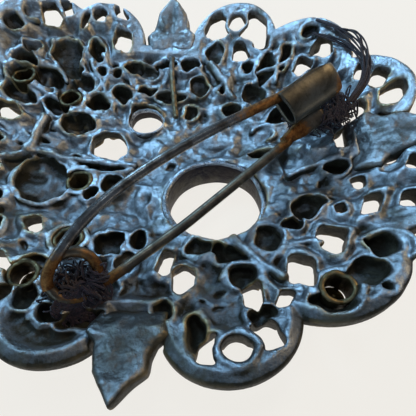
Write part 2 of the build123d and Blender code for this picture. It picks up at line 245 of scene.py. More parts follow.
# blind hollows behind the relief: centre x, centre y, width, height, turn, depth
HOLLOWS = [
    (-23.5, 21.7, 2.2, 2.4, 0, 0.9), (-20.7, 18.7, 2.3, 1.9, 0, 0.5), (-21.1, 16.5, 3.3, 1.8, -8, 1.3),
    (-21.4, 13.6, 2.9, 2.8, 0, 0.9), (-18.0, 14.4, 3.9, 3.4, -50, 1.3), (-20.9, 10.5, 4.6, 2.5, -12, 1.4),
    (-15.6, 19.2, 4.4, 4.6, 0, 1.0), (-14.8, 16.8, 3.2, 2.4, -40, 1.4), (-11.5, 20.4, 2.0, 3.9, 15, 1.3),
    (-15.1, 13.9, 3.4, 3.6, 20, 1.1), (-12.6, 14.6, 2.4, 3.4, 20, 1.2),
    (-9.9, 11.1, 3.3, 2.5, 0, 1.3), (-6.8, 12.9, 2.6, 2.5, 20, 1.3), (-9.9, 16.8, 1.6, 1.1, 0, 1.0),
    (-8.1, 16.8, 1.2, 1.3, 0, 1.0), (-15.7, 9.5, 3.6, 2.4, -35, 1.3), (-12.1, 7.0, 4.6, 3.4, 10, 1.4),
    (0.3, 13.2, 4.2, 1.7, 0, 1.2), (-3.2, 14.2, 2.9, 1.1, 15, 1.0), (-0.9, 18.6, 3.0, 1.5, 0, 1.3),
    (3.0, 18.6, 2.9, 1.5, 0, 1.3), (-5.6, 17.8, 2.8, 2.1, 0, 1.2), (-3.2, 17.2, 2.6, 1.9, 0, 0.6),
    (-14.8, -3.5, 6.4, 7.2, 20, 1.1), (-10.2, 0.4, 4.4, 1.2, -8, 1.0), (-7.0, -0.3, 4.6, 0.7, 0, 0.8),
    (-12.2, -4.8, 1.6, 2.0, 0, 1.2), (-8.4, -4.9, 1.5, 1.9, 0, 1.2), (-6.1, -3.2, 2.8, 2.6, 0, 1.4),
    (7.0, 20.4, 2.4, 3.4, -10, 0.7), (11.9, 17.0, 1.6, 2.0, 0, 1.1), (14.2, 21.0, 2.5, 1.9, 30, 1.3),
    (14.6, 16.4, 2.0, 5.6, -12, 1.3), (17.0, 17.6, 1.7, 4.2, -20, 1.3), (20.8, 20.6, 3.4, 3.2, 0, 0.8),
    (12.9, 12.0, 3.2, 3.4, 20, 0.8), (8.0, 13.7, 1.2, 1.4, 0, 1.2), (4.6, 14.6, 2.4, 3.0, -20, 0.9),
    (16.2, 7.4, 3.8, 2.6, 20, 1.4), (13.8, 1.2, 3.8, 1.7, 10, 1.4), (22.2, -2.9, 2.2, 2.2, 0, 1.4),
    (-11.0, -16.0, 3.2, 2.2, 0, 0.8), (-10.7, -20.1, 1.9, 2.6, 0, 1.0), (-4.5, -12.4, 3.6, 3.4, 10, 1.4),
    (-1.0, -11.8, 1.8, 2.4, 0, 1.2), (-3.2, -18.3, 1.8, 2.3, 0, 0.5), (2.7, -21.0, 1.5, 1.9, 0, 1.0),
    (6.3, -23.6, 2.1, 3.4, 15, 1.2), (5.9, -13.0, 2.8, 2.2, 0, 1.0), (9.4, -14.0, 4.2, 2.6, -15, 1.4),
    (13.6, -12.6, 3.6, 4.0, 0, 1.1), (10.7, -17.0, 3.0, 2.4, 0, 1.1), (24.1, -15.1, 2.6, 2.6, 30, 1.5),
    (22.3, -18.0, 3.0, 2.9, 0, 0.8), (23.4, -20.0, 0.8, 0.7, 0, 0.5), (18.4, -21.0, 3.6, 1.3, -14, 1.3),
    (12.4, -21.6, 2.8, 1.8, 0, 1.3), (18.3, -8.4, 3.6, 3.0, 30, 1.2), (16.4, -10.6, 1.9, 1.6, 0, 0.9),
    (-18.4, -11.6, 3.4, 3.0, 20, 1.2), (-19.4, -7.0, 2.6, 2.8, 0, 1.2), (-21.6, -2.6, 2.8, 2.4, 0, 1.1),
    (-22.8, 2.0, 3.4, 2.2, 0, 1.2), (-27.0, 12.6, 2.2, 2.4, 0, 1.0), (-15.4, 0.9, 2.2, 1.2, 0, 0.8),
    (18.4, 11.2, 2.6, 1.9, -20, 1.2), (21.2, 9.6, 2.4, 2.6, 0, 1.0), (20.9, 5.6, 1.9, 2.2, 0, 1.1),
    (9.6, 9.8, 2.4, 1.7, 25, 0.9), (3.6, 10.2, 1.8, 2.4, -20, 0.9), (-8.2, -22.0, 2.3, 1.9, 0, 1.3),
    (-4.9, -22.2, 3.8, 1.9, 10, 1.3), (-13.4, -20.4, 2.4, 1.8, 40, 1.2), (-2.2, -15.2, 2.2, 3.0, 10, 0.7),
]

# raised scrolls (arc_points values and half width) and bars (points and half width) on the back
ARCS = [
    (-21.3, 24.4, 1.5, 60, 300, 0.34), (20.8, 20.4, (1.7, 0.9), 40, 290, 0.36),
    (13.8, 4.8, 1.5, -60, 150, 0.4), (13.6, -12.4, 1.9, 150, 400, 0.38), (10.0, -25.2, 1.75, 0, 360, 0.5),
    (-11.4, 26.2, 1.45, 0, 360, 0.3), (10.4, 25.1, 1.55, 0, 360, 0.3), (10.7, -17.6, 2.2, 20, 170, 0.45),
    (-18.0, 13.2, 3.0, 20, 110, 0.34), (-14.6, 16.6, 5.2, -60, 40, 0.38),
    (17.0, -16.8, 3.6, 60, 160, 0.4), (24.6, -15.4, 2.1, -40, 130, 0.4),
]
BARS = [
    ([(9.3, 26.1), (8.4, 26.9)], 0.3), ([(11.5, 26.1), (12.1, 26.8)], 0.3),
    ([(-17.4, 0.9), (-17.2, 3.6), (-16.8, 6.8)], 0.75),
    ([(15.8, 13.6), (16.2, 16.4), (16.8, 19.4)], 0.36), ([(13.6, 15.8), (18.4, 17.0)], 0.34),
    ([(16.7, -2.9), (19.8, -2.0), (22.9, -1.3)], 0.42),
    ([(-20.2, -0.9), (-16.4, 1.2), (-12.0, 0.5), (-7.4, 0.7), (-3.6, 0.2)], 0.5),
    ([(6.4, 18.6), (8.4, 15.4), (9.6, 12.2)], 0.55), ([(16.0, 11.2), (19.0, 8.4), (22.6, 7.4)], 0.55),
    ([(9.8, -11.9), (12.0, -14.8), (14.6, -17.4)], 0.6),
    ([(-12.0, 18.2), (-9.6, 13.8), (-7.8, 10.4)], 0.4),
    ([(-19.4, 12.2), (-16.6, 11.2), (-12.6, 9.6), (-8.4, 8.9)], 0.38),
]
RIDGES = [(arc_points(*arc), half_width) for *arc, half_width in ARCS] + BARS

RING_HOLES = [(-11.4, 26.2, 1.05), (10.4, 25.1, 1.25), (10.0, -25.2, 1.2)]

# swellings of the back over the front's relief: centre x, centre y, half width, half height, rise
SWELLS = [
    (-8.6, 8.8, 2.6, 1.6, 0.5), (2.6, 6.2, 3.4, 2.4, 0.5), (-2.2, 2.8, 3.0, 2.6, 0.45),
    (7.8, 5.6, 3.2, 2.2, 0.6), (12.4, 9.4, 2.0, 3.2, 0.6), (-1.2, -4.6, 1.8, 3.4, 0.5),
    (16.6, -6.2, 2.2, 3.0, 0.6), (4.6, 16.0, 1.8, 2.2, 0.5), (-4.4, -8.6, 2.6, 1.8, 0.5),
    (9.0, 16.4, 1.4, 2.6, 0.6), (19.6, 1.6, 2.6, 2.0, 0.5), (0.8, -15.6, 1.5, 3.0, 0.5),
    (-20.2, -12.8, 2.4, 2.0, 0.5), (25.4, -18.6, 1.2, 2.6, 0.3), (7.4, 12.6, 1.5, 1.2, 0.5),
    (-6.8, -16.4, 2.4, 2.4, 0.4), (14.4, -7.8, 1.6, 1.2, 0.5), (11.6, 13.8, 1.0, 1.6, 0.5),
]

OVAL = (7.5, -5.6, 6.7, 6.2)
ROUND = (-2.8, 8.6, 2.8, 2.8)
COLLETS = [(-10.3, -2.9), (-9.2, -12.1), (-14.2, 11.4), (-20.9, 13.6), (-12.2, -17.4), (19.4, -19.4)]
COLLET_RADIUS = 1.8
FRONT_BEAD = (-8.4, 9.4, 1.5)
EDGE_WARP = 0.16         # unevenness of the windows' outlines, mm
HOLLOW_WARP = 0.42       # and of the hollows'

broad = Noise(3, 3.4)
medium = Noise(7, 1.3)
fine = Noise(11, 0.55)

# half outline of a leaf, from root to shoulder: share of its length, share of its half width
LEAF_SHARES = [(0.0, 0.85), (0.3, 1.0), (0.42, 0.74), (0.7, 0.6)]


def leaf_outline(root, tip, half):
    length = tip - root
    side = [(root + along * length, across * half) for along, across in LEAF_SHARES] + [(tip, 0.0)]
    return side + [(x, -y) for x, y in reversed(side[:-1])]


LEAVES = {
    "leaf_right": (0, 24.4, 33.0, 4.4),
    "leaf_top": (90, 21.4, 30.0, 3.9),
    "leaf_left": (180, 24.4, 33.0, 4.4),
    "leaf_bottom": (270, 21.4, 30.0, 3.9),
}


def turned(points, degrees):
    c, s = cos(radians(degrees)), sin(radians(degrees))
    return [(x * c - y * s, x * s + y * c) for x, y in points]


def warped(x, y, size):
    """Plan coordinates pushed about by the medium noise, for uneven cast outlines."""
    return x + size * medium(x + 17, y), y + size * medium(x, y + 23)


def plate_outline(x, y):
    d = polygon(x, y, [(lx, ly) for lx, ly, _ in LOBES])
    for lx, ly, r in LOBES:
        d = np.minimum(d, np.hypot(x - lx, y - ly) - r)
    return d


def plate_thickness(y):
    """The lower lobes are the heavier ones."""
    return 1.45 + 0.55 * np.clip((6.0 - y) / 14.0, 0, 1)


# how much further each lobe's windows are opened, mm
OPENED = {"top left lobe": 0.1, "top right lobe": 0.42, "bottom right lobe": 0.36, "right upper lobe": 0.34}


def rounded(points, share=0.55):
    """An outline shrunk about its middle, and the radius that grows it back with round corners."""
    cx, cy = np.mean(points, axis=0)
    inner = [(cx + (px - cx) * share, cy + (py - cy) * share) for px, py in points]
    depth = -float(polygon(np.array([[cx]]), np.array([[cy]]), points)[0, 0])
    return inner, depth * (1 - share)


def cut_windows(block):
    for name, group in WINDOWS.items():
        grow, blend = OPENED.get(name, 0.22), 0.3
        for points in group:
            inner, radius = rounded(points)
            def hole(x, y, z):
                u, v = warped(x, y, EDGE_WARP)
                return polygon(u, v, inner)[:, :, None] - radius - grow + 0.08 * np.minimum(z + 1, 0)
            block.cut(around(points, 1.6), hole, blend)


def lip_field(block):
    """Distance in plan from the nearest window or hollow, up to FAR."""
    field = np.full(block.d.shape[:2], FAR)
    for points in chain(*WINDOWS.values()):
        pick, x, y = block.part(around(points, FAR))
        u, v = warped(x, y, EDGE_WARP)
        field[pick] = np.minimum(field[pick], np.maximum(polygon(u, v, points), 0))
    for cx, cy, width, height, turn, _ in HOLLOWS:
        pick, x, y = block.part(near(cx, cy, 6))
        u, v = warped(x, y, HOLLOW_WARP)
        flat = ellipse(u, v, cx, cy, width / 2, height / 2, turn)
        field[pick] = np.minimum(field[pick], np.maximum(flat, 0))
    return field


def back_relief(block, x, y, outline):
    """Height of the plate's back over its dome: crumpled, with raised lips and a smooth rim."""
    u, v = warped(x, y, 0.8)
    fold = 1 - np.abs(broad(u + 40, v + 11)) * 2.2
    top = 0.34 * broad(u, v) + 0.22 * medium(x, y) + 0.06 * fine(x, y) + 0.3 * fold - 0.25
    top = top - 0.45 + 0.75 * np.exp(-((lip_field(block) / 0.8) ** 2))
    rim = np.clip(1.45 - np.maximum(-1.0 - outline, 0), 0, 1)
    top = top * (1 - 0.88 * rim) + 0.12 * rim
    lower = np.clip((-y - 12.0) / 6.0, 0, 1)
    top = top - 0.7 * lower * np.clip((outline + 1.15) / 1.15, 0, 1)
    oval = ellipse(x, y, *OVAL)
    far_left = np.clip(0.5 + ((y - OVAL[1]) - 0.8 * (x - OVAL[0])) / 14.0, 0.1, 1)
    top = top + 0.95 * far_left * np.exp(-((np.maximum(oval, 0) / 1.1) ** 2))
    for cx, cy, rx, ry, rise in SWELLS:
        r = np.sqrt(((x - cx) / rx) ** 2 + ((y - cy) / ry) ** 2)
        top = top + rise * np.clip(1 - r * r, 0, 1)
    return top


def disc(x, y, cx, cy, radius):
    return np.hypot(x - cx, y - cy)[:, :, None] - radius


def add_front(block):
    """Relief of the front: bosses under the hollows, the bead it rests on and the collets' seats."""
    for cx, cy, width, height, turn, _ in HOLLOWS:
        def boss(x, y, z):
            flat = ellipse(x, y, cx, cy, width / 2 + 0.5, height / 2 + 0.5, turn)[:, :, None]
            return np.maximum(flat, np.abs(z + 1.6) - 1.4 + 0.12 * np.maximum(flat + 0.8, 0))
        block.add(near(cx, cy, 4.5), boss, 0.6)
    bead_x, bead_y, radius = FRONT_BEAD
    def bead(x, y, z):
        side = disc(x, y, bead_x, bead_y, radius) + 0.25 * np.maximum(-3 - z, 0)
        return np.maximum(side, np.abs(z + 2.3) - 1.6)
    block.add(near(bead_x, bead_y, 3), bead, 0.5)
    for cx, cy in COLLETS:
        def seat(x, y, z):
            return np.maximum(disc(x, y, cx, cy, COLLET_RADIUS + 0.55), np.abs(z + 0.9) - 1.0)
        block.add(near(cx, cy, 3.5), seat, 0.5)


def cut_hollows(block):
    for cx, cy, width, height, turn, depth in HOLLOWS:
        def hollow(x, y, z):
            u, v = warped(x, y, HOLLOW_WARP)
            flat = ellipse(u, v, cx, cy, width / 2, height / 2, turn)[:, :, None]
            wall = flat - 0.12 + 0.22 * np.maximum(-z, 0)
            floor = -depth - 0.25 - z + 0.4 * medium(x + 9, y)[:, :, None]
            return smooth_max(wall, floor, 0.6)
        block.cut(near(cx, cy, 4.5), hollow, 0.38)


def add_ridges(block):
    for points, half_width in RIDGES:
        def ridge(x, y, z):
            u, v = warped(x, y, 0.2)
            flat = polyline(u, v, points)[:, :, None]
            return np.sqrt(flat**2 + ((z + 0.3) * 0.8) ** 2) - half_width
        block.add(around(points, half_width + 1), ridge, 0.3)


def cut_seats(block):
    """Clean holes for the rings, the two large settings and the collets, and the leaves' places."""
    for cx, cy, radius in RING_HOLES:
        block.cut(near(cx, cy, 2), lambda x, y, z: disc(x, y, cx, cy, radius) + 0 * z, 0.25)
    for cx, cy, rx, ry in (OVAL, ROUND):
        def setting(x, y, z):
            return ellipse(x, y, cx, cy, rx - 0.3, ry - 0.3)[:, :, None] + 0 * z
        block.cut(near(cx, cy, rx + 1, ry + 1), setting, 0.3)
    for cx, cy in COLLETS:
        block.cut(near(cx, cy, 3), lambda x, y, z: disc(x, y, cx, cy, COLLET_RADIUS - 0.1) + 0 * z, 0.2)
    for turn, root, tip, half in LEAVES.values():
        points = turned(leaf_outline(root + 0.5, tip + 2, half - 0.5), turn)
        block.cut(around(points, 0.6), lambda x, y, z: polygon(x, y, points)[:, :, None] + 0 * z, 0.2)


def make_plate():
    block = Casting((-33.6, -30.6, -4.2), (33.6, 30.6, 1.6))
    x, y = block.axes[0][:, None], block.axes[1][None, :]
    outline = plate_outline(x, y)
    top = back_relief(block, x, y, outline)
    low = -plate_thickness(y) + 0.2 * broad(y, x)
    block.fill(outline, low, top, 0.4)
    add_front(block)
    cut_hollows(block)
    cut_windows(block)
    scatter_hollows(block)
    add_ridges(block)
    cut_seats(block)
    inside = np.clip((-outline - 1.6) / 1.2, 0.12, 1)
    block.d += (inside * (0.045 * fine(x + 5, y + 2) + 0.04 * medium(x + 31, y)))[:, :, None]
    return block


PIT_TRIES = 3000


def scatter_hollows(block):
    """Small seeded pits where the lattice is otherwise plain."""
    random = np.random.default_rng(21)
    taken = [(cx, cy, max(w, h) / 2) for cx, cy, w, h, _, _ in HOLLOWS]
    taken += [(cx, cy, max(rx, ry)) for cx, cy, rx, ry, _ in SWELLS]
    taken += [(cx, cy, max(rx, ry) + 0.6) for cx, cy, rx, ry in (OVAL, ROUND)]
    taken += [(cx, cy, 2.5) for cx, cy in COLLETS]
    for points in chain(*WINDOWS.values()):
        cx, cy = np.mean(points, axis=0)
        taken.append((cx, cy, max(np.hypot(px - cx, py - cy) for px, py in points)))
    for points, half_width in RIDGES:
        taken += [(px, py, half_width) for px, py in points[::3]]
    for _ in range(PIT_TRIES):
        cx, cy = random.uniform(-31, 31), random.uniform(-28, 28)
        size, depth = random.uniform(0.45, 1.7), random.uniform(0.5, 1.4)
        ratio, turn = random.uniform(0.3, 0.75), random.uniform(0, 360)
        corners = random.integers(3, 6)
        reach = random.uniform(0.75, 1.0, 5)
        clear = min(np.hypot(cx - tx, cy - ty) - tr for tx, ty, tr in taken)
        inside = plate_outline(np.array([[cx]]), np.array([[cy]]))[0, 0]
        if clear < size * 0.85 + 0.2 or inside > -size - 1.7:
            continue
        taken.append((cx, cy, size * 0.85))
        angles = [2 * pi * k / corners for k in range(corners)]
        points = [(size * reach[k] * cos(a), size * reach[k] * ratio * sin(a)) for k, a in enumerate(angles)]
        points = [(cx + px, cy + py) for px, py in turned(points, turn)]
        def pit(x, y, z):
            u, v = warped(x, y, 0.3)
            flat = polygon(u, v, points)[:, :, None] - 0.12
            return smooth_max(flat + 0.3 * np.maximum(-z, 0), -depth - z, 0.4)
        block.cut(near(cx, cy, 2.6), pit, 0.32)


# ---- from field to mesh ----
def blurred(field, radius):
    """Box blur of a volume, twice along each axis, by running sums."""
    out = field
    for axis in range(3):
        for _ in range(2):
            margins = [(0, 0)] * 3
            margins[axis] = (radius + 1, radius)
            total = np.cumsum(np.pad(out, margins, "edge"), axis=axis, dtype=np.float64)
            n = total.shape[axis]
            hi = total.take(range(2 * radius + 1, n), axis)
            lo = total.take(range(0, n - 2 * radius - 1), axis)
            out = ((hi - lo) / (2 * radius + 1)).astype(np.float32)
    return out


def sampled(volume, points):
    """Values of a volume at points given in grid steps."""
    cells = [np.clip(points[:, k], 0, volume.shape[k] - 1.001) for k in range(3)]
    base = [c.astype(int) for c in cells]
    out = 0
    for corner in np.ndindex(2, 2, 2):
        weight = 1.0
        for k, d in enumerate(corner):
            f = cells[k] - base[k]
            weight = weight * (f if d else 1 - f)
        out = out + weight * volume[tuple(b + d for b, d in zip(base, corner))]
    return out


def new_object(name, verts, faces):
    """A mesh object from arrays of points in metres and of quads or triangles."""
    mesh = bpy.data.meshes.new(name)
    sides = faces.shape[1]
    mesh.vertices.add(len(verts))
    mesh.vertices.foreach_set("co", verts.astype(np.float32).ravel())
    mesh.loops.add(faces.size)
    mesh.loops.foreach_set("vertex_index", faces.astype(np.int32).ravel())
    mesh.polygons.add(len(faces))
    mesh.polygons.foreach_set("loop_start", np.arange(0, faces.size, sides, dtype=np.int32))
    mesh.update(calc_edges=True)
    mesh.validate()
    mesh.shade_smooth()
    obj = bpy.data.objects.new(name, mesh)
    bpy.context.scene.collection.objects.link(obj)
    return obj


def add_value(obj, name, values):
    attribute = obj.data.attributes.new(name, "FLOAT", "POINT")
    attribute.data.foreach_set("value", np.asarray(values, np.float32))


def cast_object(name, block):
    """The surface of a casting, laid on the back's dome, with the values that drive its wear and its painted
    shade.
    """
    for axis in range(3):
        np.moveaxis(block.d, axis, 0)[[0, -1]] = STEP
    grid = openvdb.FloatGrid(3 * STEP)
    grid.copyFromArray(np.clip(block.d, -3 * STEP, 3 * STEP).astype(np.float32))
    points, quads = grid.convertToQuads(isovalue=0.0)
    points, quads = np.asarray(points, np.float64), np.asarray(quads)
    solid = np.clip(0.5 - block.d / STEP, 0, 1).astype(np.float32)
    edge = sampled(blurred(solid, 2), points)
    hollow = sampled(blurred(solid, 7), points)
    x, y, h = (block.low[k] + STEP * points[:, k] for k in range(3))
    z = back_z(x, y) + h * DOME_RADIUS / np.sqrt(DOME_RADIUS**2 - x * x - y * y)
    obj = new_object(name, np.stack([x, y, z], 1) * MM, quads)
    add_value(obj, "edge", edge)
    add_value(obj, "hollow", hollow)
    # painted shade: wall is how far a point faces sideways to the dome, and the material darkens such walls
    normals = np.empty(len(points) * 3, np.float32)
    obj.data.vertex_normals.foreach_get("vector", normals)
    normals = normals.reshape(-1, 3)
    inwards = np.stack([-x, -y, BACK_HEIGHT + DOME_RADIUS - z], 1)
    inwards /= np.linalg.norm(inwards, axis=1)[:, None]
    add_value(obj, "depth", -h)
    add_value(obj, "wall", 1 - np.abs((normals * inwards).sum(1)))
    return obj


def make_leaf(turn, root, tip, half):
    """A ridged, crumpled leaf in the flat block."""
    points = turned(leaf_outline(root - 0.5, tip + 0.3, half), turn)
    box = around(points, 0.8)
    block = Casting((box[0], box[2], -2.4), (box[1], box[3], 1.6))
    x, y = block.axes[0][:, None], block.axes[1][None, :]
    outline = polygon(x, y, points) + 0.12 * medium(x, y)
    vein = polyline(x, y, turned([(root, 0), (tip, 0)], turn))
    side = np.minimum(*(
        polyline(x, y, turned([(root + 1, 0), (root + 4.2, across * 0.8)], turn)) for across in (half, -half)
    ))
    crumple = 1 - 2.4 * np.abs(broad(1.5 * x + 7, 1.5 * y))
    top = 0.42 + 0.3 * broad(x + 3, y) + 0.1 * medium(x, y + 5) + 0.05 * fine(x, y) + 0.12 * crumple
    top = top - 0.16 * np.exp(-((vein / 0.6) ** 2)) - 0.1 * np.exp(-((side / 0.6) ** 2))
    top = smooth_min(top, 0.88 + 0 * top, 0.3)
    along = x * cos(radians(turn)) + y * sin(radians(turn))
    top = top - 0.5 * np.clip((root + 1.6 - along) / 1.8, 0, 1)
    low = -1.9 + 0.2 * broad(y, x) + 0 * x
    block.fill(outline, low, top, 0.9)
    return block


def grid_faces(rows, width, round_rows, round_width):
    """Quads between neighbouring rows of points, closed round either way if asked."""
    faces = []
    for i in range(rows if round_rows else rows - 1):
        j = (i + 1) % rows
        for k in range(width if round_width else width - 1):
            m = (k + 1) % width
            faces.append((i * width + k, i * width + m, j * width + m, j * width + k))
    return faces


def end_faces(start, rows, sides):
    """Quads that close both ends of a tube."""
    faces = []
    for first, flip in ((start, True), (start + (rows - 1) * sides, False)):
        for k in range(1, sides - 2, 2):
            face = (first, first + k, first + k + 1, first + k + 2)
            faces.append(face[::-1] if flip else face)
    return faces


def object_mm(name, verts, faces):
    """A mesh object from lists of points in mm and of faces."""
    return new_object(name, np.array([tuple(v) for v in verts]) * MM, np.array(faces))


def ring_object(name, centre, outer, inner, levels, wobble, seed, segments=144, dip=None):
    """An upright collar: outer and inner half widths, (level, outwards flare) pairs up the wall."""
    random = np.random.default_rng(seed)
    waves = [(random.uniform(0, 2 * pi), k, wobble / k) for k in (2, 3, 5, 8, 13)]
    section = [(1, z, flare) for z, flare in levels] + [(0, z, -flare) for z, flare in reversed(levels)]
    foot, height = levels[0][0], levels[-1][0] - levels[0][0]
    verts = []
    for i in range(segments):
        a = 2 * pi * i / segments
        off = sum(size * sin(k * a + phase) for phase, k, size in waves)
        drop = dip(a) if dip else 0.0
        for wall, z, flare in section:
            rx, ry = outer if wall else inner
            verts.append((
                centre[0] + (rx + flare + off * 0.6) * cos(a),
                centre[1] + (ry + flare + off * 0.6) * sin(a),
                z + (off - drop) * (z - foot) / height,
            ))
    faces = [(a, d, c, b) for a, b, c, d in grid_faces(segments, len(section), True, True)]
    return object_mm(name, verts, faces)


def tube_object(name, lines, sides=8):
    """Round tubes along lines of (point, radius), closed at both ends, in one mesh."""
    verts, faces = [], []
    for line in lines:
        points = [Vector(p) for p, _ in line]
        start = len(verts)
        normal = None
        for i, (_, radius) in enumerate(line):
            ahead = (points[min(i + 1, len(line) - 1)] - points[max(i - 1, 0)]).normalized()
            if normal is None:
                normal = ahead.orthogonal().normalized()
            normal = (normal - ahead * normal.dot(ahead)).normalized()
            other = ahead.cross(normal)
            for k in range(sides):
                a = 2 * pi * k / sides
                verts.append(points[i] + (normal * cos(a) + other * sin(a)) * radius)
        faces += [tuple(start + v for v in face) for face in grid_faces(len(line), sides, False, True)]
        faces += end_faces(start, len(line), sides)
    return object_mm(name, verts, faces)


def smooth_line(points, count):
    """Evenly numbered points of a smooth curve through a few points."""
    p = [Vector(points[0])] + [Vector(q) for q in points] + [Vector(points[-1])]
    out = []
    for i in range(count):
        t = i / (count - 1) * (len(points) - 1)
        k = min(int(t), len(points) - 2)
        t -= k
        a, b, c, d = p[k:k + 4]
        out.append(
            ((b * 2) + (c - a) * t + (a * 2 - b * 5 + c * 4 - d) * t * t
             + (b * 3 - a - c * 3 + d) * t * t * t) * 0.5
        )
    return out


# ---- the pin's own frame: along the fixed wire, across to the arm, out of its plane ----
PIN_COIL = Vector((-5.6, -19.0, 9.2))
PIN_AZIMUTH, PIN_RISE, PIN_LEAN = radians(40.5), radians(4.5), radians(45.0)
COIL_RADIUS = 2.4
WIRE_LEVEL = -0.6        # middle of the fixed turn, out of the pin's plane
ALONG = Vector((cos(PIN_RISE) * cos(PIN_AZIMUTH), cos(PIN_RISE) * sin(PIN_AZIMUTH), sin(PIN_RISE)))
FLAT = Vector((-sin(PIN_AZIMUTH), cos(PIN_AZIMUTH), 0))
ACROSS = FLAT * cos(PIN_LEAN) + ALONG.cross(FLAT) * sin(PIN_LEAN)
OUT = ALONG.cross(ACROSS)


def in_pin(u, s, n):
    return PIN_COIL + ALONG * u + ACROSS * s + OUT * n


# ---- materials ----
class Nodes:
    """A material's node tree with short calls."""

    def __init__(self, name):
        self.material = bpy.data.materials.new(name)
        self.material.use_nodes = True
        self.tree = self.material.node_tree
        self.shader = self.tree.nodes["Principled BSDF"]
        self.where = self.add("ShaderNodeTexCoord").outputs["Object"]

    def add(self, kind, inputs=None, **settings):
        node = self.tree.nodes.new(kind)
        for key, value in settings.items():
            setattr(node, key, value)
        for key, value in (inputs or {}).items():
            self.put(node.inputs[key], value)
        return node

    def put(self, socket, value):
        if isinstance(value, bpy.types.NodeSocket):
            self.tree.links.new(value, socket)
        else:
            socket.default_value = value

    def noise(self, per_mm, detail=4.0, roughness=0.6, distortion=0.0):
        node = self.add("ShaderNodeTexNoise", {
            "Vector": self.where, "Scale": per_mm / MM, "Detail": detail,
            "Roughness": roughness, "Distortion": distortion,
        })
        return node.outputs["Fac"]

    def ramp(self, value, stops):
        node = self.add("ShaderNodeValToRGB", {"Fac": value})
        ramp = node.color_ramp
        while len(ramp.elements) < len(stops):
            ramp.elements.new(0.5)
        for element, (position, colour) in zip(ramp.elements, stops):
            element.position = position
            element.color = (*colour, 1) if isinstance(colour, tuple) else (colour, colour, colour, 1)
        return node.outputs["Color"]

    def math(self, operation, a, b=0.0, clamp=False):
        node = self.add("ShaderNodeMath", operation=operation, use_clamp=clamp)
        self.put(node.inputs[0], a)
        self.put(node.inputs[1], b)
        return node.outputs[0]

    def swing(self, value, share):
        """A value of about a half, turned into a small swing either way."""
        return self.math("MULTIPLY", self.math("SUBTRACT", value, 0.5), share)

    def less(self, value, other, share):
        return self.math("SUBTRACT", value, self.math("MULTIPLY", other, share), clamp=True)

    def mix(self, share, a, b):
        node = self.add("ShaderNodeMix", data_type="RGBA")
        self.put(node.inputs["Factor"], share)
        self.put(node.inputs[6], a if isinstance(a, bpy.types.NodeSocket) else (*a, 1))
        self.put(node.inputs[7], b if isinstance(b, bpy.types.NodeSocket) else (*b, 1))
        return node.outputs[2]

    def value(self, name):
        return self.add("ShaderNodeAttribute", attribute_name=name).outputs["Fac"]

    def finish(self, colour, metallic, roughness, bumps=(), **more):
        self.put(self.shader.inputs["Base Color"], colour)
        self.put(self.shader.inputs["Metallic"], metallic)
        self.put(self.shader.inputs["Roughness"], roughness)
        for key, value in more.items():
            self.put(self.shader.inputs[key.replace("_", " ")], value)
        normal = None
        for height, distance in bumps:
            inputs = {"Height": height, "Distance": distance * MM, "Strength": 1.0}
            if normal:
                inputs["Normal"] = normal
            normal = self.add("ShaderNodeBump", inputs).outputs["Normal"]
        if normal:
            self.put(self.shader.inputs["Normal"], normal)
        return self.material


def cast_metal(name, exposed, middle, recess_patina_and_shade, gloss):
    """Old plated casting: bright where it is rubbed, dark and dull in its hollows, partly as patina and
    partly as painted shade; walls facing sideways and the near lobes get painted shade too.
    """
    n = Nodes(name)
    blotch = n.noise(0.35, 5)
    grain = n.noise(2.6, 6, 0.7)
    speck = n.noise(7.0, 4, 0.75)
    # painted shade, partly patina: the deeper a point sits in a hollow, the darker it is
    wear_and_shade = n.math("SUBTRACT", 1.16, n.math("MULTIPLY", n.value("hollow"), 1.2))
    wear_and_shade = n.math("ADD", wear_and_shade, n.swing(blotch, 0.5))
    wear_and_shade = n.math("ADD", wear_and_shade, n.swing(grain, 0.4), clamp=True)
    # painted shade, partly patina: lower-lying points are darker
    depth = n.math("MULTIPLY", n.value("depth"), 0.75, clamp=True)
    wear_and_shade = n.less(wear_and_shade, depth, 0.3)
    # painted shade: walls that face sideways to the dome are darker
    wear_and_shade = n.less(wear_and_shade, n.value("wall"), 0.95)
    # painted shade: the near lobes under the coil are darkened, more so towards -Y from y = -13 mm
    place = n.add("ShaderNodeSeparateXYZ", {"Vector": n.where}).outputs
    near_side_shade = n.math("DIVIDE", n.math("SUBTRACT", -0.013, place["Y"]), 0.013, clamp=True)
    wear_and_shade = n.less(wear_and_shade, near_side_shade, 0.26)
    colour = n.ramp(wear_and_shade, [(0.1, recess_patina_and_shade), (0.42, middle), (0.78, exposed)])
    # gilt left on rubbed edges, more of it to the left
    rubbed = n.math("MULTIPLY", n.math("SUBTRACT", 0.46, n.value("edge")), 7.0, clamp=True)
    leftwards = n.math("DIVIDE", n.math("SUBTRACT", -0.003, place["X"]), 0.02, clamp=True)
    patches = n.math("ADD", n.noise(0.12, 3), n.math("MULTIPLY", leftwards, 0.12))
    gold = n.math("MULTIPLY", rubbed, n.ramp(patches, [(0.48, 0.0), (0.62, 0.85)]))
    colour = n.mix(gold, colour, (0.48, 0.34, 0.15))
    stain = n.ramp(n.noise(0.3, 6, 0.65, 0.6), [(0.48, 0.0), (0.66, 0.7)])
    colour = n.mix(stain, colour, (0.1, 0.09, 0.065))
    rough = n.ramp(wear_and_shade, [(0.1, gloss[1]), (0.8, gloss[0])])
    rough = n.math("ADD", rough, n.swing(grain, 0.35), clamp=True)
    metal = n.ramp(wear_and_shade, [(0.08, 0.0), (0.4, 1.0)])
    bumps = [(n.noise(0.5, 3), 0.2), (n.noise(1.3, 3), 0.1), (grain, 0.05), (speck, 0.012)]
    return n.finish(colour, metal, rough, bumps, Specular_IOR_Level=0.12)


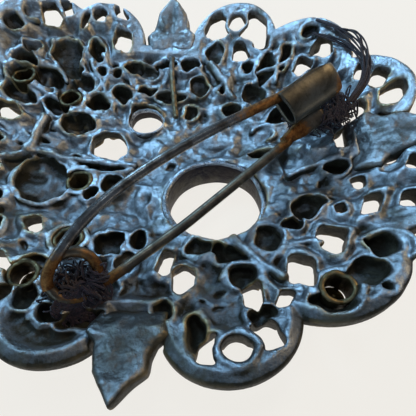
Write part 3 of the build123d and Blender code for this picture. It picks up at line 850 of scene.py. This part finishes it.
def plain_metal(name, clean, dirty, gloss, grain_scale=3.0, relief=0.03, rust=()):
    """Worn wire or sheet; rust gives (place, radius) of its rusty stretches, in mm."""
    n = Nodes(name)
    grain = n.noise(grain_scale, 6, 0.7)
    patch = n.noise(grain_scale * 0.16, 5, 0.6, 0.6)
    colour = n.mix(n.ramp(patch, [(0.38, 0.0), (0.62, 1.0)]), clean, dirty)
    colour = n.mix(n.ramp(grain, [(0.5, 0.0), (0.75, 0.55)]), colour, tuple(c * 0.35 for c in dirty))
    rough = n.ramp(patch, [(0.3, gloss[0]), (0.7, gloss[1])])
    flakes = n.noise(1.6, 5, 0.7)
    for place, radius in rust:
        ends = {0: n.where, 1: tuple(v * MM for v in place)}
        gap = n.add("ShaderNodeVectorMath", ends, operation="DISTANCE").outputs["Value"]
        rusty = n.math("SUBTRACT", 1.25, n.math("DIVIDE", gap, radius * MM))
        rusty = n.math("SUBTRACT", n.math("ADD", rusty, flakes), 0.72)
        rusty = n.math("MULTIPLY", rusty, 3.0, clamp=True)
        browns = n.ramp(flakes, [(0.35, (0.10, 0.035, 0.012)), (0.65, (0.36, 0.17, 0.055))])
        colour = n.mix(rusty, colour, browns)
        rough = n.math("ADD", rough, n.math("MULTIPLY", rusty, 0.25), clamp=True)
    return n.finish(colour, 0.9, rough, [(grain, relief), (patch, relief)])


def thread_material(name):
    n = Nodes(name)
    twist = n.noise(4.0, 3)
    patch = n.noise(0.5, 3)
    colour = n.ramp(twist, [(0.3, (0.006, 0.003, 0.005)), (0.7, (0.055, 0.024, 0.034))])
    colour = n.mix(n.ramp(patch, [(0.5, 0.0), (0.75, 0.6)]), colour, (0.10, 0.055, 0.03))
    return n.finish(
        colour, 0.0, 0.62, [(n.noise(9.0, 2), 0.05)], Sheen_Weight=0.4, Sheen_Roughness=0.4,
    )


def stone_material(name):
    n = Nodes(name)
    patch = n.noise(0.8, 4, 0.6, 1.5)
    foil = [(0.35, (0.02, 0.012, 0.005)), (0.55, (0.16, 0.09, 0.02)), (0.75, (0.5, 0.4, 0.2))]
    colour = n.ramp(patch, foil)
    return n.finish(colour, 0.7, 0.18, [(n.noise(3.0, 3), 0.05)], Coat_Weight=0.6, Coat_Roughness=0.1)


def dress(name, material):
    """A CAD node that is kept as it is, with a material."""
    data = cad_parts[name].data
    data.materials.clear()
    data.materials.append(material)
    return data


def install(obj, material, node):
    """A finished piece that stands for a CAD node and rides with the plate."""
    obj.data.materials.append(material)
    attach(obj, "brooch")
    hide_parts(node)


PEWTER = cast_metal(
    "old_pewter", (0.56, 0.62, 0.68), (0.22, 0.235, 0.255), (0.028, 0.024, 0.016), (0.34, 0.54),
)
LEAF_METAL = cast_metal(
    "leaf_pewter", (0.44, 0.47, 0.5), (0.17, 0.17, 0.165), (0.035, 0.03, 0.022), (0.32, 0.52),
)
# its dark middle and near-black recess colours are painted shade on the settings' walls
BEZEL_METAL = cast_metal(
    "bezel_pewter", (0.42, 0.45, 0.5), (0.07, 0.075, 0.1), (0.006, 0.005, 0.014), (0.3, 0.5),
)
COLLET_BRASS = plain_metal("collet_brass", (0.24, 0.18, 0.09), (0.06, 0.05, 0.03), (0.35, 0.6), 2.5)
PIN_STEEL = plain_metal(
    "pin_wire_dark", (0.3, 0.29, 0.28), (0.095, 0.08, 0.068), (0.2, 0.36), 3.5, 0.02,
    rust=[(in_pin(28.0, 3.2, 0.6), 5.5), (in_pin(-1.5, 1.0, 0.6), 3.0)],
)
LEG_STEEL = plain_metal(
    "pin_leg_brown", (0.24, 0.19, 0.135), (0.10, 0.08, 0.06), (0.3, 0.45), 3.5, 0.02,
    rust=[(in_pin(28.5, -1.6, -0.6), 3.0), (in_pin(1.0, -1.5, -0.6), 3.5)],
)
CAP_BRASS = plain_metal("pin_brass", (0.2, 0.18, 0.14), (0.075, 0.066, 0.05), (0.28, 0.46), 2.2, 0.02,
                        rust=[(in_pin(36.6, 0.6, 0.6), 1.6)])
THREAD = thread_material("purple_thread")
STONE = stone_material("paste_stone")

# ---- pieces ----
install(cast_object("openwork_back", make_plate()), PEWTER, "openwork_plate")
for leaf, (turn, root, tip, half) in LEAVES.items():
    install(cast_object(leaf + "_cast", make_leaf(turn, root, tip, half)), LEAF_METAL, leaf)


def wear_and_shade_values(obj, edge, hollow, depth, wall=0.3):
    """The castings' wear and painted-shade values on a plain piece; wall may be an array, one value a point.
    """
    count = len(obj.data.vertices)
    for name, value in (("edge", edge), ("hollow", hollow), ("depth", depth), ("wall", wall)):
        add_value(obj, name, np.zeros(count) + value)


def up_the_wall(levels, wall, lip):
    """Values round a collar's section, the two top levels being its lip."""
    up = [wall] * (len(levels) - 2) + [lip] * 2
    return up + up[::-1]


def make_setting(name, place, outer, inner, levels, wobble, seed, segments, dip, node):
    bezel = ring_object(name, place[:2], outer, inner, levels, wobble, seed, segments, dip)
    # painted shade: the collar's walls get high hollow and full wall values, so they come out near black,
    # while its lip stays bright
    hollow = np.tile(up_the_wall(levels, 0.55, 0.1), segments)
    wall = np.tile(up_the_wall(levels, 1.0, 0.0), segments)
    wear_and_shade_values(bezel, 0.45, hollow, 0.2, wall)
    install(bezel, BEZEL_METAL, node)


oval_top = float(back_z(OVAL[0], OVAL[1])) + 0.65
oval_levels = [(0.02, -0.25), (0.15, 0.0), (1.6, 0.1), (oval_top - 0.6, 0.12), (oval_top - 0.15, 0.05),
               (oval_top - 0.02, -0.12)]
make_setting("oval_setting", OVAL, (6.55, 6.05), (5.95, 5.45), oval_levels, 0.16, 5, 144,
             lambda a: 0.75 - 0.7 * sin(a - 0.6), "oval_bezel")
round_top = float(back_z(ROUND[0], ROUND[1])) - 0.1
round_levels = [(1.82, -0.15), (1.95, 0.0), (2.7, 0.0), (round_top - 0.3, 0.05), (round_top - 0.05, -0.1)]
make_setting("round_setting", ROUND, (2.78, 2.78), (2.35, 2.35), round_levels, 0.14, 6, 96, None,
             "round_bezel")

# height of each stone's front over the plane the brooch lies on
COLLET_TABLES = [0.0, 0.9, 1.6, 4.4, 3.4, 5.4]
for number, ((cx, cy), table) in enumerate(zip(COLLETS, COLLET_TABLES), 1):
    top = float(back_z(cx, cy)) - 0.06
    levels = [(table + 0.62, -0.05), (table + 0.8, 0.0), (top - 0.3, 0.0), (top - 0.1, 0.06), (top, -0.08)]
    collet = ring_object(
        f"collet_ring_{number}", (cx, cy), (1.72, 1.72), (1.3, 1.3), levels, 0.2, 30 + number, 72)
    install(collet, COLLET_BRASS, f"collet_{number}")
    dress(f"stone_{number}", STONE)

STEM = [(0.35, 19.2, 0.75), (0.45, 16.8, 0.62), (0.75, 14.2, 0.5), (1.1, 11.6, 0.42), (1.5, 9.0, 0.2)]
stem_line = smooth_line([on_back(*p) for p in STEM], 40)
stem_line = [(p, 0.42 + 0.05 * sin(i * 1.3)) for i, p in enumerate(stem_line)]
stem_bar = tube_object("stem_ridge", [stem_line], 14)
wear_and_shade_values(stem_bar, 0.35, 0.35, 0.0)
install(stem_bar, LEAF_METAL, "stem_bar")

dress("pin_arm", PIN_STEEL).shade_smooth()
dress("pin_wire", LEG_STEEL).shade_smooth()


CAP_START, CAP_LENGTH = 28.8, 8.0
CAP_SHEET = 0.32
CAP_MIDDLE = (1.65, 0.62)     # across the pin and out of its plane
# the fold across and out, from the front's open edge round the wire side to the back's
CAP_SECTION = [
    (3.75, 1.26), (3.2, 1.5), (2.4, 1.68), (1.5, 1.7), (0.6, 1.52), (0.0, 1.16),
    (-0.26, 0.62), (-0.18, 0.04), (0.4, -0.3), (1.4, -0.4), (2.7, -0.42), (3.7, -0.4),
]
TAB_START, TAB_LENGTH = 27.2, 6.6
TAB_ACROSS = -1.4


def make_cap():
    """Brass sheet folded round the wire side: bowed in front, flatter behind, open to the arm."""
    line = smooth_line([(0, s, n) for s, n in CAP_SECTION], 45)
    middle_s, middle_n = CAP_MIDDLE
    rows = 34
    verts = []
    for i in range(rows):
        t = i / (rows - 1)
        closing = max(0.0, t - 0.72) / 0.28
        round_off = sqrt(max(0.0, 1 - closing**2.4))
        flare = 0.12 * (1 - t) ** 3
        for p in line:
            s = middle_s + (p.y - middle_s) * (0.74 + 0.26 * round_off) + 0.05 * sin(3.1 * t + p.z)
            n = middle_n + (p.z - middle_n) * (0.45 + 0.55 * round_off) * (1 + flare)
            lean = 0.5 * (1 - t) * (p.y / 4.0) * (1 if t < 0.5 else 0.4)
            verts.append(in_pin(CAP_START + CAP_LENGTH * t - lean, s, n))
    cap = object_mm("folded_cap", verts, grid_faces(rows, len(line), False, False))
    sheet = cap.modifiers.new("sheet", "SOLIDIFY")
    sheet.thickness = CAP_SHEET * MM
    sheet.offset = -1
    return cap


def squarish(value):
    """A sine or cosine fattened, for a flat bar with rounded corners."""
    return abs(value) ** 0.7 * (1 if value > 0 else -1)


def make_tab():
    """End of the fixed wire beaten flat, widening under the cap."""
    verts = []
    sides, rows = 16, 20
    for i in range(rows):
        t = i / (rows - 1)
        half_s = 0.5 + 0.62 * min(1.0, t * 2.2) * (1 - 0.25 * t)
        half_n = 0.5 - 0.2 * min(1.0, t * 3)
        for k in range(sides):
            a = 2 * pi * k / sides
            fold = 0.08 * sin(6 * t + a)
            s = TAB_ACROSS + half_s * squarish(cos(a))
            n = WIRE_LEVEL + (half_n + fold) * squarish(sin(a))
            verts.append(in_pin(TAB_START + TAB_LENGTH * t, s, n))
    faces = grid_faces(rows, sides, False, True) + end_faces(0, rows, sides)
    return object_mm("beaten_tab", verts, faces)


install(make_cap(), CAP_BRASS, "pin_cap")
install(make_tab(), LEG_STEEL, "pin_tab")

# ---- thread ----
random = np.random.default_rng(8)


def loose_loop(centre, a, b, radii, thickness, wander, turns=1.0):
    """About one turn of thread round a centre, in the plane of the unit vectors a and b."""
    start = random.uniform(0, 2 * pi)
    side = a.cross(b).normalized()
    steps = int(22 * turns)
    phases = random.uniform(0, 2 * pi, 3)
    line = []
    for i in range(steps + 1):
        t = start + 2 * pi * turns * i / steps
        swell = 1 + wander * 0.4 * sin(2 * t + phases[0]) + wander * 0.3 * sin(3 * t + phases[1])
        drift = wander * sin(t + phases[2]) + 0.25 * (i / steps - 0.5)
        p = centre + a * (radii[0] * swell * cos(t)) + b * (radii[1] * swell * sin(t)) + side * drift
        line.append((p, thickness))
    return line


THREAD_CEILING = -0.2     # highest level of the heaped thread in the pin's frame, under the moving turn


def under_ceiling(p):
    return p - OUT * max(0.0, (p - PIN_COIL).dot(OUT) - THREAD_CEILING)


def tangle(middle, count, spread, sizes, flat=0.2, rise=1.0):
    """Short turns of thread heaped at random round a place: spread is along, across and out."""
    lines = []
    for _ in range(count):
        along, across, out = (random.normal(0, size) for size in spread)
        offset = ALONG * along + ACROSS * across + OUT * out
        a = (ALONG * random.uniform(-1, 1) + ACROSS * random.uniform(-1, 1) + OUT * flat).normalized()
        b = OUT * rise + ALONG * random.uniform(-0.9, 0.9) + ACROSS * random.uniform(-0.9, 0.9)
        radii = (random.uniform(*sizes), random.uniform(*sizes) * 0.75)
        turns = random.uniform(0.45, 1.0)
        thickness = random.uniform(0.07, 0.13)
        loop = loose_loop(middle + offset, a, b.normalized(), radii, thickness, 0.4, turns)
        lines.append([(under_ceiling(p), r) for p, r in loop])
    return lines


def coil_threads():
    """Turns round the near side of the coil, with heaps of loose thread under and beside it."""
    lines = []
    for angle in random.uniform(264, 335, 42):
        c, s = cos(radians(angle)), sin(radians(angle))
        centre = in_pin(COIL_RADIUS * c, COIL_RADIUS * s, WIRE_LEVEL)
        tilt = ALONG * random.normal(0, 0.35) + ACROSS * random.normal(0, 0.35)
        outwards = (ALONG * c + ACROSS * s + tilt).normalized()
        size = random.uniform(0.72, 1.15)
        lines.append(loose_loop(centre + OUT * random.uniform(-0.5, 0.05), outwards, OUT,
                                (size, size * 1.15), random.uniform(0.07, 0.14), 0.35))
    lines += tangle(in_pin(-0.5, -0.8, -1.8), 140, (0.9, 0.8, 0.45), (0.4, 1.3))
    lines += tangle(on_back(-4.5, -21.2, 0.7), 120, (1.0, 0.75, 0.3), (0.4, 1.3), 0.1, 0.5)
    lines += tangle(on_back(-6.4, -21.4, 0.4), 26, (0.9, 0.5, 0.2), (0.4, 1.0), 0.1, 0.3)
    return tube_object("coil_threads", lines, 6)


def cap_threads():
    """The knot of thread that holds the capped end down."""
    lines = tangle(in_pin(35.4, -1.9, -1.6), 190, (0.9, 0.7, 0.8), (0.4, 1.4))
    lines += tangle(in_pin(36.6, -2.2, -1.2), 110, (0.8, 0.6, 0.7), (0.4, 1.2))
    lines += tangle(in_pin(33.2, -1.2, -2.4), 90, (1.2, 0.6, 0.4), (0.4, 1.3))
    return tube_object("cap_threads", lines, 6)


# routes of the loose strands, from the rim to the cap: x, y, height over the back
STRANDS = [
    [(21.9, 21.8, 0.25), (25.0, 17.8, 0.9), (27.2, 12.8, 1.0), (26.9, 8.6, 1.2), (24.6, 5.0, 1.8)],
    [(21.4, 19.8, 0.25), (24.4, 16.6, 0.8), (26.6, 12.4, 1.0), (26.5, 8.6, 1.4), (24.2, 5.0, 2.2)],
    [(24.3, 19.2, 0.25), (26.2, 16.2, 1.4), (27.0, 12.5, 1.5), (26.2, 8.4, 1.8), (23.8, 4.8, 2.6)],
]


def strand_threads(number, route):
    """Fine threads lying loosely together along a strand's route."""
    base = smooth_line([on_back(*p) for p in route], 44)
    lines = []
    for _ in range(5):
        phases = random.uniform(0, 2 * pi, 3)
        line = []
        for i, p in enumerate(base):
            t = i / (len(base) - 1)
            sway = 0.5 * sin(pi * t) * (1 - t) + 0.12
            away = Vector((sin(5 * t + phases[0]), cos(4 * t + phases[1]), 0.5 * sin(7 * t + phases[2])))
            line.append((p + away * sway, 0.11))
        lines.append(line)
    return tube_object(f"loose_thread_{number}", lines, 7)


install(coil_threads(), THREAD, "coil_lashing")
install(cap_threads(), THREAD, "cap_lashing")
for number, route in enumerate(STRANDS, 1):
    install(strand_threads(number, route), THREAD, f"thread_strand_{number}")

# ---- floor, light and camera ----
bpy.ops.mesh.primitive_plane_add(size=2.0, location=(0, 0, -0.0001))
floor = bpy.context.object
floor.name = "floor"
paper = Nodes("floor_paper")
floor.data.materials.append(paper.finish(
    (0.12, 0.117, 0.11, 1.0), 0.0, 1.0,
    Emission_Color=(0.863, 0.839, 0.791, 1.0), Emission_Strength=0.955, Specular_IOR_Level=0.0,
))

world = bpy.data.worlds.new("studio")
bpy.context.scene.world = world
world.use_nodes = True
world.node_tree.nodes["Background"].inputs["Color"].default_value = (0.48, 0.62, 0.84, 1)
world.node_tree.nodes["Background"].inputs["Strength"].default_value = 0.17

LIGHT_AIM = Vector((0, 0, 5))


def area_light(name, place, size, power, colour):
    data = bpy.data.lights.new(name, "AREA")
    data.shape = "RECTANGLE"
    data.size, data.size_y = size[0] * MM, size[1] * MM
    data.energy = power
    data.color = colour
    light = bpy.data.objects.new(name, data)
    bpy.context.scene.collection.objects.link(light)
    light.location = Vector(place) * MM
    light.rotation_euler = (LIGHT_AIM - Vector(place)).to_track_quat("-Z", "Y").to_euler()


area_light("window", (-110, 180, 190), (60, 110), 0.33, (0.36, 0.68, 1.0))
area_light("horizon", (90, 230, 60), (150, 20), 0.06, (0.4, 0.7, 1.0))
area_light("window_left", (-230, 10, 110), (40, 90), 0.12, (0.38, 0.7, 1.0))
area_light("lamp", (170, 90, 150), (30, 50), 0.11, (1.0, 0.74, 0.42))
area_light("front", (-60, -200, 80), (110, 14), 0.055, (0.5, 0.78, 1.0))
area_light("overhead", (10, 10, 280), (36, 90), 0.07, (0.7, 0.86, 1.0))

CAMERA_AIM = Vector((6.66, -6.44, 3.0))
CAMERA_DISTANCE = 50.0
CAMERA_ELEVATION = radians(55.1)
CAMERA_HEADING = radians(4.4)
CAMERA_ROLL = radians(-3.0)
forward = Vector((
    -sin(CAMERA_HEADING) * cos(CAMERA_ELEVATION), cos(CAMERA_HEADING) * cos(CAMERA_ELEVATION),
    -sin(CAMERA_ELEVATION),
))
level = forward.cross(Vector((0, 0, 1))).normalized()
right = level * cos(CAMERA_ROLL) + level.cross(forward) * sin(CAMERA_ROLL)
up = right.cross(forward)
camera_data = bpy.data.cameras.new("camera")
camera_data.sensor_width = 36.0
camera_data.lens = 34.6
camera_data.clip_start = 0.001
camera = bpy.data.objects.new("camera", camera_data)
bpy.context.scene.collection.objects.link(camera)
place = (CAMERA_AIM - forward * CAMERA_DISTANCE) * MM
camera.matrix_world = Matrix.Translation(place) @ Matrix((right, up, -forward)).transposed().to_4x4()
bpy.context.scene.camera = camera
bpy.context.scene.view_settings.view_transform = "Standard"
